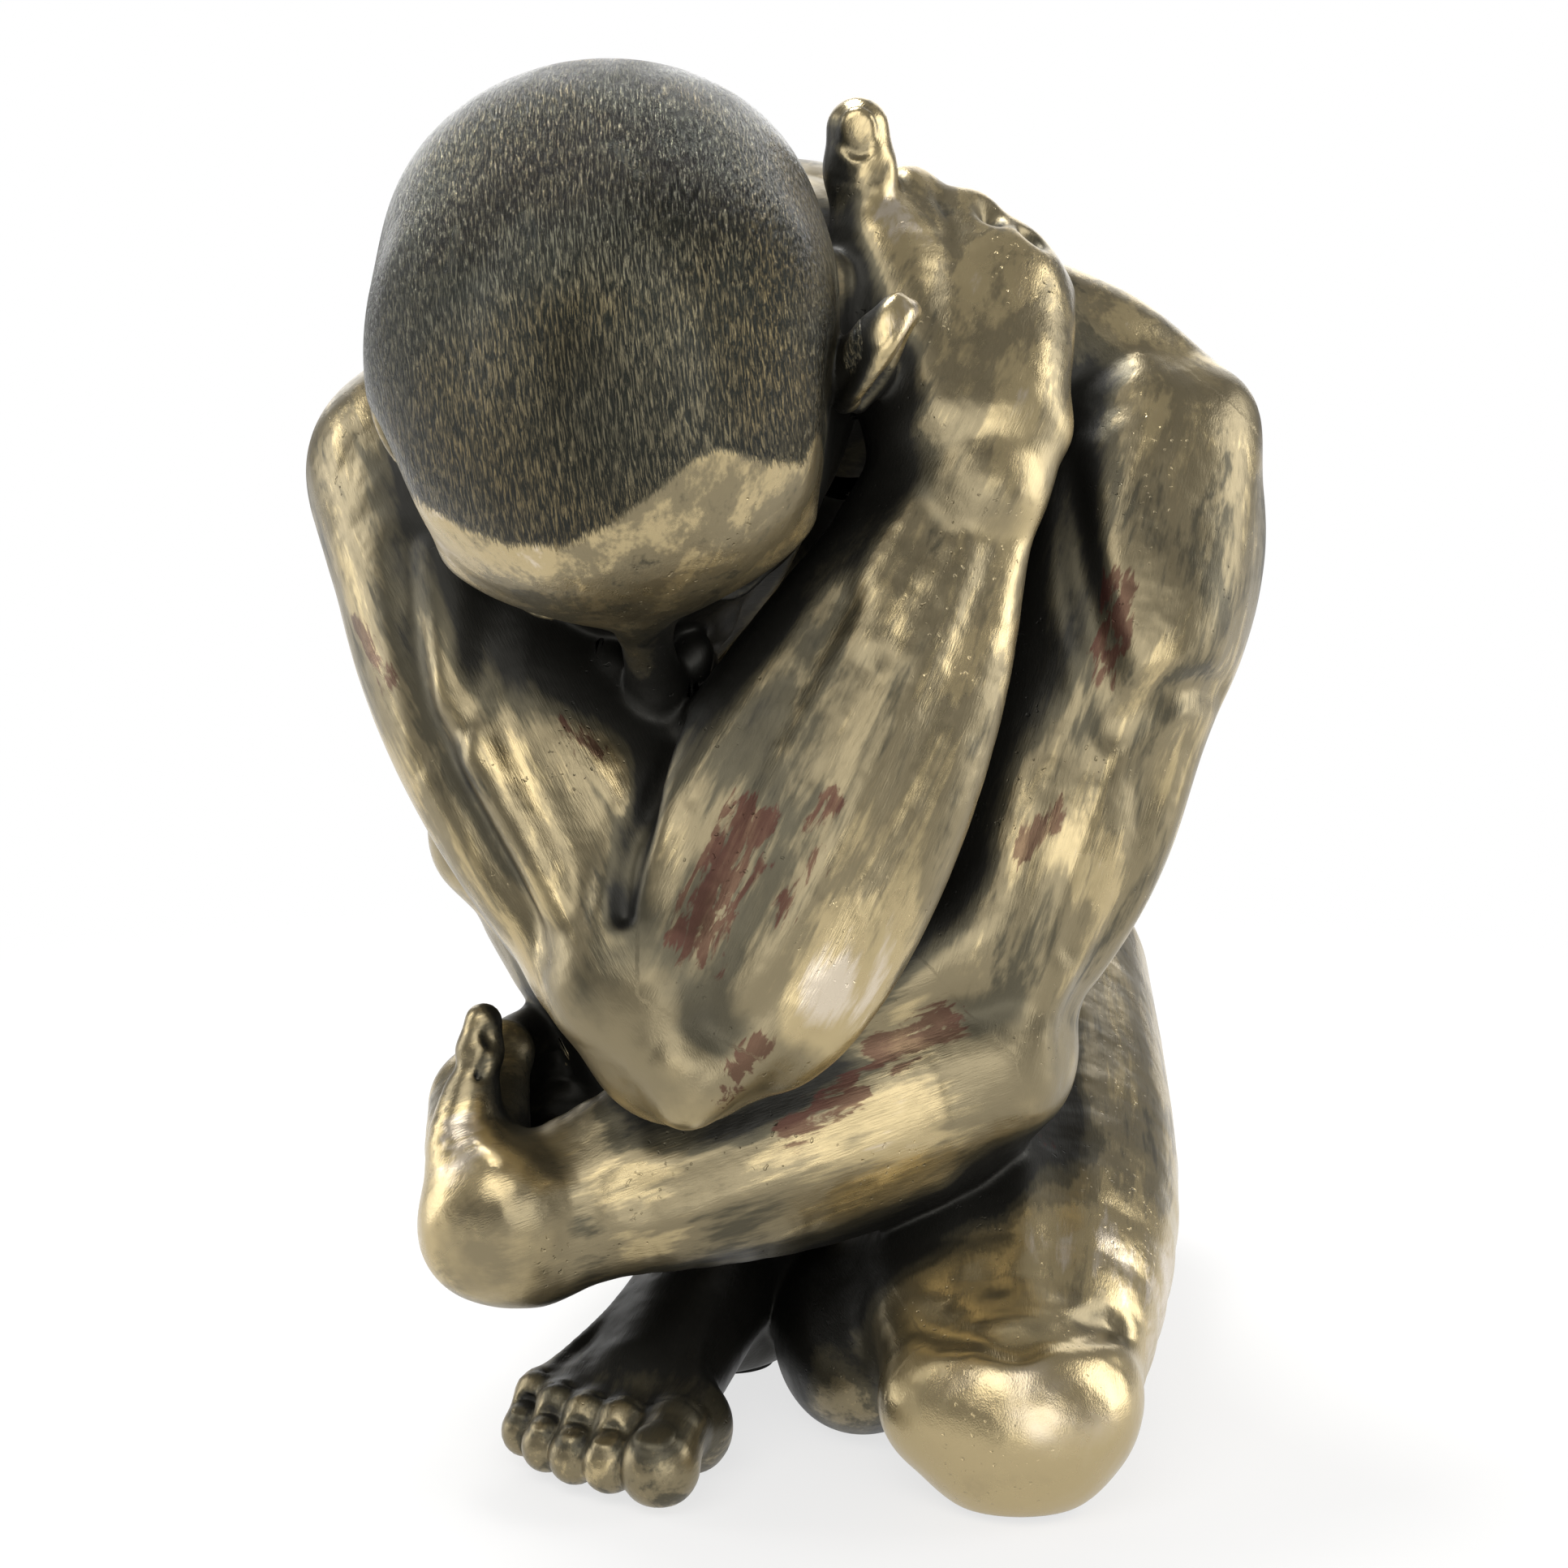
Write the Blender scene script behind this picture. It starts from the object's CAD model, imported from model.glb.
"""Looks of the crouching bronze figure.

The figure is sculpted as one distance field in millimetres, in the same place as the CAD solids:
bones and muscles are ellipsoids and tapered sweeps that blend into each other, and creases are cut
out of them. The field is meshed once and parted into its castings, which share their seams.
Millimetres and the landmarks are those of part.py; the origin shift is taken off at the end.
"""
import math
import bpy
import numpy as np
import openvdb
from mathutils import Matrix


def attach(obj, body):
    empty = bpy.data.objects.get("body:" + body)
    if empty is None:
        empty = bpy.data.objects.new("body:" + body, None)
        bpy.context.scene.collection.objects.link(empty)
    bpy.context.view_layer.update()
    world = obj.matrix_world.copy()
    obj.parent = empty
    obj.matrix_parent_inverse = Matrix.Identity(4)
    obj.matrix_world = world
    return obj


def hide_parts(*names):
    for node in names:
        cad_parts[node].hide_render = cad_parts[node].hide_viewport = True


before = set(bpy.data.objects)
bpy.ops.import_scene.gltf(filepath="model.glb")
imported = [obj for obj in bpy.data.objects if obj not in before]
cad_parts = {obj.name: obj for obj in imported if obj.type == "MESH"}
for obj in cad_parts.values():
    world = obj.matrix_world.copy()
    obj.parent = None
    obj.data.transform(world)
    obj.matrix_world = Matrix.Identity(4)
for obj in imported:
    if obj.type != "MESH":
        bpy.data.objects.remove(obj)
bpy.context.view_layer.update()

SHIFT = np.array((0.757, 11.917, 0.0))
MM = 0.001
CELL = 0.7
FAR = 9.0
MARGIN = 6
# The figure is cut level here, over a small blend, and the grid goes on below the floor.
FLOOR_CUT, FLOOR_BLEND, BELOW_FLOOR = 1.0, 0.8, 3


def vec(*values):
    return np.array(values, float)


def unit(v):
    return np.asarray(v, float) / np.linalg.norm(v)


def square(hint, axis):
    """The part of a direction that is square to an axis, at length one."""
    axis = unit(axis)
    hint = np.asarray(hint, float)
    return unit(hint - axis * (hint @ axis))


HEAD = vec(-28.5, -56, 195)
BROW = vec(-24, -70, 152)
CROWN = vec(-31, -95, 207)
NAPE = vec(-24, -29, 189)
NECK_ROOT = vec(-11, -2, 191)
COLLAR = vec(-3, 26, 187)
CHEST = vec(1, 40, 165)
RIBS = vec(7, 58, 130)
WAIST = vec(13, 76, 94)
PELVIS = vec(17, 82, 58)
SHOULDER_L = vec(67, 5, 163)
SHOULDER_R = vec(-65, 3, 164)
ELBOW_L = vec(36, -26, 68)
ELBOW_R = vec(-17, -62, 82)
WRIST_L = vec(-47, -48, 44)
WRIST_R = vec(32, -30, 177)
KNUCKLES_L = vec(-55, -20, 57)
KNUCKLES_R = vec(35, -6, 211)
HIP_L = vec(44, 78, 55)
HIP_R = vec(-11, 78, 58)
KNEE_L = vec(40, -62, 15)
KNEE_R = vec(-45, 0, 108)
ANKLE_L = vec(18, 62, 17)
ANKLE_R = vec(-10, 7, 24)
BALL_L = vec(12, 98, 8)
BALL_R = vec(-29, -49, 7.5)
UP = vec(0, 0, 1)
LEFT = vec(1, 0, 0)
BACK = vec(0, 1, 0)
VIEWER = vec(0, -0.984, 0.179)


class Rod:
    """A tapered rod between two points. Flat squeezes it along a direction."""

    def __init__(self, a, b, ra, rb, thin=None, flat=1.0):
        self.a, self.b = np.asarray(a, float), np.asarray(b, float)
        self.ra, self.rb, self.flat = ra, rb, flat
        way = self.b - self.a
        self.length = max(np.linalg.norm(way), 1e-6)
        self.way = way / self.length
        self.thin = None if thin is None else square(thin, self.way)

    def bounds(self):
        r = max(self.ra, self.rb) * max(1.0, self.flat)
        return np.minimum(self.a, self.b) - r, np.maximum(self.a, self.b) + r

    def dist(self, x, y, z):
        x, y, z = x - self.a[0], y - self.a[1], z - self.a[2]
        d = self.way
        t = np.clip(x * d[0] + y * d[1] + z * d[2], 0, self.length)
        x = x - t * d[0]
        y = y - t * d[1]
        z = z - t * d[2]
        q = x * x + y * y + z * z
        if self.thin is not None:
            c = x * self.thin[0] + y * self.thin[1] + z * self.thin[2]
            q = q + c * c * (1 / self.flat ** 2 - 1)
        r = self.ra + (self.rb - self.ra) * (t / self.length)
        return (np.sqrt(np.maximum(q, 1e-9)) - r) * min(self.flat, 1.0) ** 0.5


class Egg:
    """An ellipsoid. Its axes are rows, and skew moves its widest place along the first."""

    def __init__(self, centre, radii, axes=None, skew=0.0):
        self.c, self.r = np.asarray(centre, float), np.asarray(radii, float)
        self.axes = np.eye(3) if axes is None else np.array(axes, float)
        self.skew = skew

    def bounds(self):
        e = np.sqrt(((self.axes * self.r[:, None]) ** 2).sum(0))
        return self.c - e, self.c + e

    def dist(self, x, y, z):
        x, y, z = x - self.c[0], y - self.c[1], z - self.c[2]
        u, v, w = (((x * a[0] + y * a[1] + z * a[2]) / r) for a, r in zip(self.axes, self.r))
        if self.skew:
            g = 1.0 + self.skew * np.clip(u, -1.2, 1.2)
            v = v / g
            w = w / g
        k0 = np.sqrt(u * u + v * v + w * w)
        k1 = np.sqrt((u / self.r[0]) ** 2 + (v / self.r[1]) ** 2 + (w / self.r[2]) ** 2)
        return k0 * (k0 - 1.0) / np.maximum(k1, 1e-6)


class Many:
    """Several forms taken as one."""

    def __init__(self, forms):
        self.forms = forms

    def bounds(self):
        boxes = [f.bounds() for f in self.forms]
        return np.min([b[0] for b in boxes], 0), np.max([b[1] for b in boxes], 0)

    def dist(self, x, y, z):
        d = self.forms[0].dist(x, y, z)
        for form in self.forms[1:]:
            d = np.minimum(d, form.dist(x, y, z))
        return d


def muscle(a, b, wide, thick, out, skew=0.0, over=1.0):
    """A spindle from a to b, with its half width and its half thickness towards out."""
    a, b = np.asarray(a, float), np.asarray(b, float)
    way = unit(b - a)
    out = square(out, way)
    half = np.linalg.norm(b - a) / 2 * over
    return Egg((a + b) / 2, (half, wide, thick), (way, np.cross(way, out), out), skew)


def ball(centre, radius):
    return Egg(centre, (radius, radius, radius))


def smooth_path(points, radii, steps=4):
    """Rods along a smooth line through points, whose radius changes smoothly too."""
    rows = [np.append(np.asarray(p, float), r) for p, r in zip(points, radii)]
    rows = [2 * rows[0] - rows[1], *rows, 2 * rows[-1] - rows[-2]]
    path = []
    for a, b, c, d in zip(rows, rows[1:], rows[2:], rows[3:]):
        for step in range(steps):
            t = step / steps
            path.append(0.5 * (2 * b + (c - a) * t + (2 * a - 5 * b + 4 * c - d) * t * t
                               + (3 * b - a - 3 * c + d) * t ** 3))
    path.append(rows[-2])
    return path


def stroke(points, radii, thin=None, flat=1.0, steps=4):
    path = smooth_path(points, radii, steps)
    return Many([Rod(p[:3], q[:3], p[3], q[3], thin, flat) for p, q in zip(path, path[1:])])


class Limb:
    """Places on a limb from a to b: along as a share, then aside and ahead in millimetres."""

    def __init__(self, a, b, front):
        self.a, self.b = a, b
        self.way = unit(b - a)
        self.front = square(front, self.way)
        self.side = np.cross(self.way, self.front)

    def __call__(self, along, aside=0.0, ahead=0.0):
        return self.a + along * (self.b - self.a) + aside * self.side + ahead * self.front

    def out(self, aside, ahead):
        return unit(aside * self.side + ahead * self.front)

    def muscle(self, a, b, wide, thick, skew=0.0):
        """A muscle between two places, which lies on the limb."""
        middle = (np.array(a[1:]) + np.array(b[1:])) / 2
        out = self.out(*middle) if np.abs(middle).sum() > 1 else self.front
        return muscle(self(*a), self(*b), wide, thick, out, skew)

    def line(self, places, radii):
        return stroke([self(*p) for p in places], radii)

    def sweep(self, rows):
        """A flattened tube: along, aside, ahead, half width and half thickness in each row."""
        path = smooth_path([np.append(self(*r[:3]), r[3]) for r in rows], [r[4] for r in rows], 3)
        forms = []
        for p, q in zip(path, path[1:]):
            flat = (p[4] + q[4]) / (p[3] + q[3])
            forms.append(Rod(p[:3], q[:3], p[3], q[3], self.front, flat))
        return Many(forms)


THIGH_R, SHIN_R = Limb(HIP_R, KNEE_R, UP - BACK), Limb(KNEE_R, ANKLE_R, -BACK)
THIGH_L, SHIN_L = Limb(HIP_L, KNEE_L, UP), Limb(KNEE_L, ANKLE_L, -UP)
UP_R, FORE_R = Limb(SHOULDER_R, ELBOW_R, VIEWER), Limb(ELBOW_R, WRIST_R, VIEWER)
UP_L, FORE_L = Limb(SHOULDER_L, ELBOW_L, VIEWER), Limb(ELBOW_L, WRIST_L, VIEWER)


class Field:
    """A distance field on a grid, into which forms are blended."""

    def __init__(self, low, high):
        self.low = np.floor(np.asarray(low) / CELL) * CELL
        self.count = np.ceil((np.asarray(high) - self.low) / CELL).astype(int) + 1
        self.axes = [(self.low[i] + CELL * np.arange(self.count[i])).astype(np.float32)
                     for i in range(3)]
        self.f = np.full(self.count, FAR, np.float32)

    def window(self, low, high, margin):
        start = np.maximum(0, ((low - margin - self.low) / CELL).astype(int))
        stop = np.minimum(self.count, ((high + margin - self.low) / CELL).astype(int) + 2)
        return tuple(slice(a, b) for a, b in zip(start, stop))

    def mesh_of(self, window):
        x, y, z = (axis[s] for axis, s in zip(self.axes, window))
        return x[:, None, None], y[None, :, None], z[None, None, :]

    def blend(self, form, k, sign=1):
        """Adds a form, or takes it away where the sign is negative, over a width of k."""
        window = self.window(*form.bounds(), abs(k) + 4 * CELL + 1.5)
        if any(s.stop <= s.start for s in window):
            return
        d = form.dist(*self.mesh_of(window)).astype(np.float32)
        self.f[window] = mix(self.f[window], d, k) if sign > 0 else -mix(-self.f[window], d, k)


def mix(a, b, k):
    """The lower of two distances, rounded over a width of k."""
    h = np.maximum(k - np.abs(a - b), 0) / k
    return np.minimum(a, b) - h * h * (k / 4)


class Casting:
    """The forms of one casting, each with its sign and its blend width where the usual one won't do."""

    def __init__(self, name):
        self.name, self.forms = name, []

    def add(self, form, k=6.0):
        self.forms.append((form, k, 1))

    def dig(self, form, k=7.0):
        self.forms.append((form, k, -1))

    def field(self):
        boxes = [form.bounds() for form, _, sign in self.forms if sign > 0]
        low = np.min([b[0] for b in boxes], 0) - MARGIN
        high = np.max([b[1] for b in boxes], 0) + MARGIN
        field = Field(low, high)
        for form, k, sign in self.forms:
            field.blend(form, k, sign)
        return field


# The head: its own axes, with the face looking down.
FACE = unit(BROW - HEAD)
TOP = square(CROWN - HEAD, FACE)
ASIDE = np.cross(TOP, FACE)
HEAD_AXES = np.array((ASIDE, FACE, TOP))


def in_head(aside, ahead, above):
    return HEAD + aside * ASIDE + ahead * FACE + above * TOP


def head_way(aside, ahead, above):
    return unit(aside * ASIDE + ahead * FACE + above * TOP)


def head_sides():
    """The sign of each side, and a function for places that the side mirrors."""
    for s in (-1, 1):
        yield s, lambda aside, ahead, above: in_head(aside * s, ahead, above)


def head_egg(place, radii, tilt=0.0, skew=0.0):
    """An ellipsoid in the head, tipped about the line between the ears."""
    c, s = math.cos(tilt), math.sin(tilt)
    axes = (ASIDE, FACE * c + TOP * s, TOP * c - FACE * s)
    return Egg(in_head(*place), radii, axes, skew)


def make_head():
    head = Casting("head_casting")
    add, dig = head.add, head.dig
    add(head_egg((0, 0.5, -2.2), (39.5, 43.4, 38.6)), 1)
    add(head_egg((0, 7.5, 4.2), (36, 37.5, 34)), 8)
    add(head_egg((0, -22, -6), (33, 25, 28)), 9)
    # Jaw, cheeks and chin.
    add(stroke([in_head(0, 14, -12), in_head(0, 20, -32), in_head(0, 27, -52)], [27, 23.5, 15], TOP, 1.0), 8)
    for s, at in head_sides():
        add(stroke([at(32, -2, -26), at(29, 6, -42), at(16, 27, -56), at(3, 36, -59)], [7, 7.5, 7, 7.5]), 9)
        add(muscle(at(30, 14, -22), at(17, 33, -27), 8.5, 6.5, head_way(s, 0.9, 0)), 8)
        add(muscle(at(30, 8, -22), at(26, 18, -46), 8, 6, head_way(s, 0.4, 0)), 7)
    add(ball(in_head(0, 36.5, -57), 8.5))
    # Brow, orbits, lids.
    for s, at in head_sides():
        add(muscle(at(3, 42, -4), at(29, 31, -3), 3.6, 3.2, FACE))
        dig(head_egg((15.5 * s, 43.5, -12.5), (9.5, 7.5, 6.2), 0.15), 6)
        add(ball(at(15, 31.4, -12.5), 8.6), 2)
        add(stroke([at(7.5, 38.2, -13.6), at(15, 40.6, -15.2), at(23, 36.2, -14)], [0.8, 1.25, 0.8]), 1.2)
        dig(stroke([at(6.6, 39.4, -13.8), at(15, 41.6, -13.3), at(23.4, 37.2, -13.4)], [0.35, 0.6, 0.35]),
            0.9)
        dig(stroke([at(7.5, 40.2, -8.6), at(15, 41.2, -7.2), at(24, 36.6, -9.6)], [0.5, 0.7, 0.4]), 2)
    # Nose.
    add(stroke([in_head(0, 41.5, -6), in_head(0, 46, -17), in_head(0, 51.5, -27.5)], [4.4, 4.2, 4.8]), 4.5)
    add(ball(in_head(0, 53.2, -29.5), 4.6), 3)
    for s, at in head_sides():
        add(muscle(at(5.4, 51.5, -30.5), at(8.2, 44, -31), 3, 3.3, ASIDE * s), 2.6)
        dig(muscle(at(2.9, 53, -34.6), at(4.8, 46.5, -34.2), 1.3, 2.2, TOP), 1)
    # Mouth.
    add(head_egg((0, 40, -41.5), (13, 6.5, 10)))
    add(stroke([in_head(-11.5, 41.6, -42.6), in_head(-4, 46.6, -40.3), in_head(0, 47, -41),
        in_head(4, 46.6, -40.3), in_head(11.5, 41.6, -42.6)], [0.9, 2.1, 1.9, 2.1, 0.9]), 1.6)
    add(stroke([in_head(-10, 41.6, -44.6), in_head(0, 45.6, -46.6), in_head(10, 41.6, -44.6)],
        [0.9, 2.6, 0.9]), 1.6)
    dig(stroke([in_head(-12.6, 41.2, -43.2), in_head(-5, 47.4, -43), in_head(0, 48.2, -43.5),
        in_head(5, 47.4, -43), in_head(12.6, 41.2, -43.2)], [0.5, 0.7, 0.7, 0.7, 0.5]), 1.2)
    dig(muscle(in_head(0, 48.6, -34.6), in_head(0, 48.4, -39.6), 1.4, 1.2, FACE), 2)
    dig(muscle(in_head(-8, 43.6, -51), in_head(8, 43.6, -51), 1.6, 1.6, FACE), 4)
    # Temples.
    for s in (-1, 1):
        dig(head_egg((39.5 * s, 24, -3), (3.6, 12, 12)), 9)
    dig(head_egg((43, 16, 4), (6, 20, 24)), 9)
    for s in (-1, 1):
        make_ear(head, s)
    # Neck, with the cords that run to the collar bones.
    neck = Limb(NAPE - vec(2, 8, 2), NECK_ROOT + vec(6, 14, 1), UP)
    add(neck.sweep(((0, 0, 0, 27, 25), (0.35, 0, 0, 25, 24), (0.7, 0, 0, 26.5, 25), (1, 0, -1, 30, 26))), 9)
    for s, at in head_sides():
        add(stroke([at(33, -12, -22), at(27, -8, -44), vec(-8 + 20 * s, 8, 168)], [6.5, 7, 6]))
        add(stroke([at(10, -36, -14), vec(-20 + 13 * s, -12, 210), vec(-6 + 15 * s, 18, 206)], [9, 11, 13]),
            8)
    dig(stroke([in_head(0, -44, -20), (-20, -14, 219), (-9, 8, 218)], [1, 1.6, 1]), 6)
    return head


def make_ear(head, s):
    """A rim that curls over a hollow, with a lobe and the flap in front of the canal."""
    add, dig = head.add, head.dig
    tuck, lift, flare, splay = (5.5, -4, 1.0, 0) if s < 0 else (2.5, 5, 1.2, 0.62)

    def place(back, down, out):
        return in_head((37.5 + out * flare + back * splay - tuck) * s, 9 - back, lift - 14 - down)
    across = unit(ASIDE * s + FACE * splay)
    shell = (across, square(FACE, across), TOP)
    add(Egg(place(4 if splay else 3, 0, 2.4), (3.2, 7.2, 11.5), shell), 3)
    if splay:
        add(Egg(place(5, -8, 5), (3.4, 8, 5.5), shell), 2.5)
    dig(Egg(place(2.2, 1, 6.3), (3.6, 4.6, 7.6), HEAD_AXES), 1.6)
    add(stroke([place(-3.4, 1, 3), place(-3, -7, 5), place(2, -12, 6.6), place(8, -9.5, 7),
        place(10, -2, 6.6), place(8, 5, 5.6), place(3.5, 10, 4.6), place(-0.5, 11.5, 3.4)],
        [1.3, 1.6, 1.8, 1.9, 1.8, 1.7, 2.5, 2.1]), 1.1)
    add(stroke([place(1.5, -6.5, 4.6), place(5.6, -3, 5), place(5, 3.5, 4.4), place(1.5, 6, 4)],
        [0.9, 1.3, 1.2, 1]), 1.5)
    add(ball(place(-2.4, 1.5, 3.6), 1.9), 1.6)
    dig(ball(place(0.6, 1.5, 2.6), 2.2), 1.4)


def make_torso():
    torso = Casting("torso_casting")
    add, dig = torso.add, torso.dig
    up_back = unit(COLLAR - RIBS)
    rear = square(BACK + UP * 0.6, up_back)
    axes = (LEFT, rear, up_back)
    rows = ((PELVIS, 44, 34), (WAIST, 39, 29), (RIBS, 50, 34), (CHEST, 58, 34), (COLLAR, 42, 25),
        (NECK_ROOT + vec(2, 6, 0), 27, 24))
    path = smooth_path([np.append(p, w) for p, w, _ in rows], [t for _, _, t in rows], 3)
    forms = []
    for p, q in zip(path, path[1:]):
        way = unit(q[:3] - p[:3])
        thin = square(np.cross(LEFT, way), way)
        forms.append(Rod(p[:3], q[:3], p[3] * 0.96, q[3] * 0.96, thin, (p[4] + q[4]) / (p[3] + q[3])))
    add(Many(forms), 1)
    add(Egg((3, 46, 150), (53, 36, 42), axes), 9)
    add(Egg((17, 82, 66), (46, 33, 27)), 9)
    for s in (-1, 1):
        blade = vec(-3 + 41 * s, 38, 172)
        # Shoulder blade with the muscles that cover it.
        add(Egg(blade, (25, 17, 33), axes), 10)
        add(Egg((blade + vec(-3 + 66 * s, 6, 166)) / 2 + vec(2 * s, 0, 3), (27, 17, 22), axes), 10)
        add(Egg(vec(-3 + 61 * s, 18, 162), (17, 17, 20)), 10)
        add(muscle(blade + vec(-13 * s, 10, 14), blade + vec(24 * s, -10, 10), 7, 5, rear))
        add(muscle(blade + vec(-12 * s, 17, -4), blade + vec(20 * s, -2, 4), 11, 7, rear), 5)
        add(muscle(blade + vec(-6 * s, 19, -22), blade + vec(24 * s, 4, -6), 8, 6, rear), 5)
        dig(stroke([blade + vec(-22 * s, 26, 18), blade + vec(-20 * s, 36, -2),
            blade + vec(-11 * s, 39, -26)], [1.2, 1.8, 1.2]), 13)
        # Trapezius.
        add(muscle(vec(-10 + 12 * s, 0, 204), vec(-1 + 59 * s, 14, 184), 13, 11, UP), 9)
        add(muscle(vec(1 + 5 * s, 42, 196), vec(-3 + 52 * s, 24, 186), 12, 7, rear), 8)
        add(muscle(vec(1 + 7 * s, 44, 196), vec(7 + 5 * s, 88, 140), 9, 6, rear), 7)
        # Erectors on each side of the spine.
        add(stroke([vec(16 + 10 * s, 109, 70), vec(13 + 11 * s, 103, 96), vec(8 + 12 * s, 90, 128),
            vec(4 + 11 * s, 72, 160), vec(0 + 9 * s, 48, 188)], [8, 10, 10, 9, 7]), 7)
        # Latissimus and the ribs' side.
        add(muscle(vec(10 + 34 * s, 86, 96), vec(-2 + 58 * s, 30, 158), 17, 9, LEFT * s + BACK), 8)
        add(muscle(vec(4 + 44 * s, 46, 112), vec(2 + 55 * s, 26, 146), 12, 8, LEFT * s), 7)
        for rib in range(4):
            low = vec(9 + (43 - 2 * rib) * s, 42 - 3 * rib, 108 + 9 * rib)
            add(stroke([low + vec(2 * s, 12, 6), low, low + vec(-9 * s, -11, -4)], [3, 3.8, 2.6]), 4)
        # Flank above the hip, and the buttock.
        add(muscle(vec(15 + 36 * s, 78, 76), vec(10 + 40 * s, 62, 104), 14, 10, LEFT * s + BACK * 0.4), 8)
        add(Egg(vec(16 + 25 * s, 90, 56), (27, 28, 29)), 9)
        add(muscle(vec(16 + 12 * s, 108, 74), vec(16 + 36 * s, 92, 40), 19, 14, BACK), 8)
        # Chest and belly, mostly behind the arms.
        add(muscle(vec(-1 + 8 * s, 10, 152), vec(-1 + 50 * s, 8, 164), 19, 9, -BACK), 8)
        add(muscle(vec(-6 + 8 * s, 6, 184), vec(-4 + 58 * s, 4, 178), 4, 3.6, UP), 5)
        add(muscle(vec(6 + 12 * s, 26, 134), vec(12 + 12 * s, 48, 84), 11, 9, -BACK), 7)
    add(stroke([(24, 6, 203), (46, 14, 196), (59, 15, 190), (69, 14, 181.5), (76, 9, 177)],
        [10, 9.5, 9.5, 9, 9.5]), 8)
    add(stroke([(-28, 8, 200), (-48, 14, 190), (-62, 12, 179)], [10, 10, 9.5]), 8)
    dig(stroke([(17, 120, 72), (13, 116, 98), (8, 105, 130), (4, 88, 164), (0, 65, 196)],
        [1.6, 2.6, 2.4, 2, 1]), 11)
    dig(stroke([(16, 118, 72), (16, 119, 55), (16, 113, 34)], [1.2, 3, 3]), 8)
    dig(stroke([(-8, 41, 112), (10, 34, 106), (30, 42, 112)], [1, 2.4, 1]), 4)
    return torso


def make_right_arm():
    arm = Casting("right_arm_casting")
    add, dig = arm.add, arm.dig
    up, fore = UP_R, FORE_R
    add(up.sweep(((-0.05, 0, 0, 18.3, 19), (0.25, -1, 0, 20, 18.5), (0.55, -3, 0, 22.5, 17),
        (0.8, -4, 0, 20, 14.5), (1, -1, 0, 16, 11.5))), 1)
    # Shoulder: the three heads of the deltoid.
    add(up.muscle((-0.2, 1.5, 0), (0.54, 8.5, 9), 15.5, 15, 0.1), 8)
    add(up.muscle((-0.2, -9, 11), (0.5, 4, 15), 10, 8))
    add(up.muscle((-0.18, 9.5, -8), (0.5, 10.5, 2), 10.6, 10))
    dig(up.line(((-0.1, 0, 25), (0.12, 3, 28), (0.38, 6, 25)), (0.4, 0.9, 0.4)))
    # Biceps, pressed wide by the forearm, and the muscle under it.
    add(up.muscle((0.22, -7, 9), (0.98, -11, 7), 13, 12.5))
    add(up.muscle((0.3, -19, 2), (0.88, -24, 3), 11.5, 13))
    add(up.muscle((0.34, 1, 14), (0.96, -3, 11), 8, 7))
    # Triceps.
    add(up.muscle((0.12, 15, 1), (0.88, 11, 5), 11.5, 11.5), 5)
    add(up.muscle((0.1, 9, -12), (0.9, 6, -6), 13, 12))
    add(up.muscle((0.5, 16, -4), (1.02, 7, 0), 8, 8), 5)
    dig(up.line(((0.18, 6, 23), (0.34, 11, 21.5), (0.47, 14.5, 19), (0.72, 14.5, 16.5), (0.88, 14, 13)),
        (0.5, 1.6, 2, 1.7, 0.5)))
    add(up.line(((0.22, 1, 18.5), (0.36, 6, 18.5), (0.49, 8.8, 18), (0.71, 8, 16.5), (0.86, 7.5, 14.5),
        (0.97, 0, 14)), (2, 3.4, 3.8, 3.6, 3.2, 2.4)), 5)
    dig(up.line(((0.28, -9, 23), (0.42, 1, 25), (0.49, 11, 23.5), (0.47, 20, 17)), (0.4, 1, 1, 0.2)))
    # Elbow: the point, its two sides and the flat between them.
    add(stroke([up(0.86, 9, 3), (-20, -71.5, 81), (-15, -73, 77)], [9, 7.5, 6]))
    add(ball(up(0.97, 2, 10), 8.5))
    add(ball((-30, -65, 89), 7.5), 7)
    # Forearm.
    add(fore.sweep(((0, 0, 0, 16, 12.5), (0.14, 0, 0, 23, 15.5), (0.36, 1, 0, 24, 16), (0.58, 2, 0, 20.5, 14),
        (0.8, 1, 0, 16, 11), (1.02, 0, 0, 13.5, 9.5))), 3)
    add(fore.muscle((-0.02, -15, 7), (0.8, -9, 6), 10.5, 10.5, -0.15), 5)
    add(fore.muscle((0.02, -4, 13), (0.86, -4, 9), 8.5, 7.5, -0.15), 5)
    add(fore.muscle((0.03, 7, 12.5), (0.86, 7, 8.5), 9.5, 8, -0.15), 5)
    add(fore.muscle((-0.02, 17, 4), (0.84, 14, 2), 9.5, 13, -0.2))
    add(fore.muscle((0, 2, -9), (0.72, 2, -7), 16, 11, -0.2))
    add(fore.line(((-0.1, 6, 9.5), (0.1, 15, 10), (0.4, 17.5, 8), (0.7, 15.5, 6), (0.98, 11, 3)),
        (3.5, 2.4, 2, 2.2, 3.2)))
    dig(fore.line(((0.1, 3.5, 23), (0.3, 2.5, 22.5), (0.58, 2, 19)), (0.5, 1.4, 0.5)))
    dig(fore.line(((0.12, -9, 21.5), (0.34, -9, 21), (0.66, -7, 16.5)), (0.4, 1.3, 0.4)))
    # The fold where the arm closes on itself.
    dig(stroke([(-17, -53, 129), (-20.5, -60, 121), (-25, -67, 112), (-26, -70, 103)], [2.2, 1.9, 1.5, 0.5]),
        5)
    return arm


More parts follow.
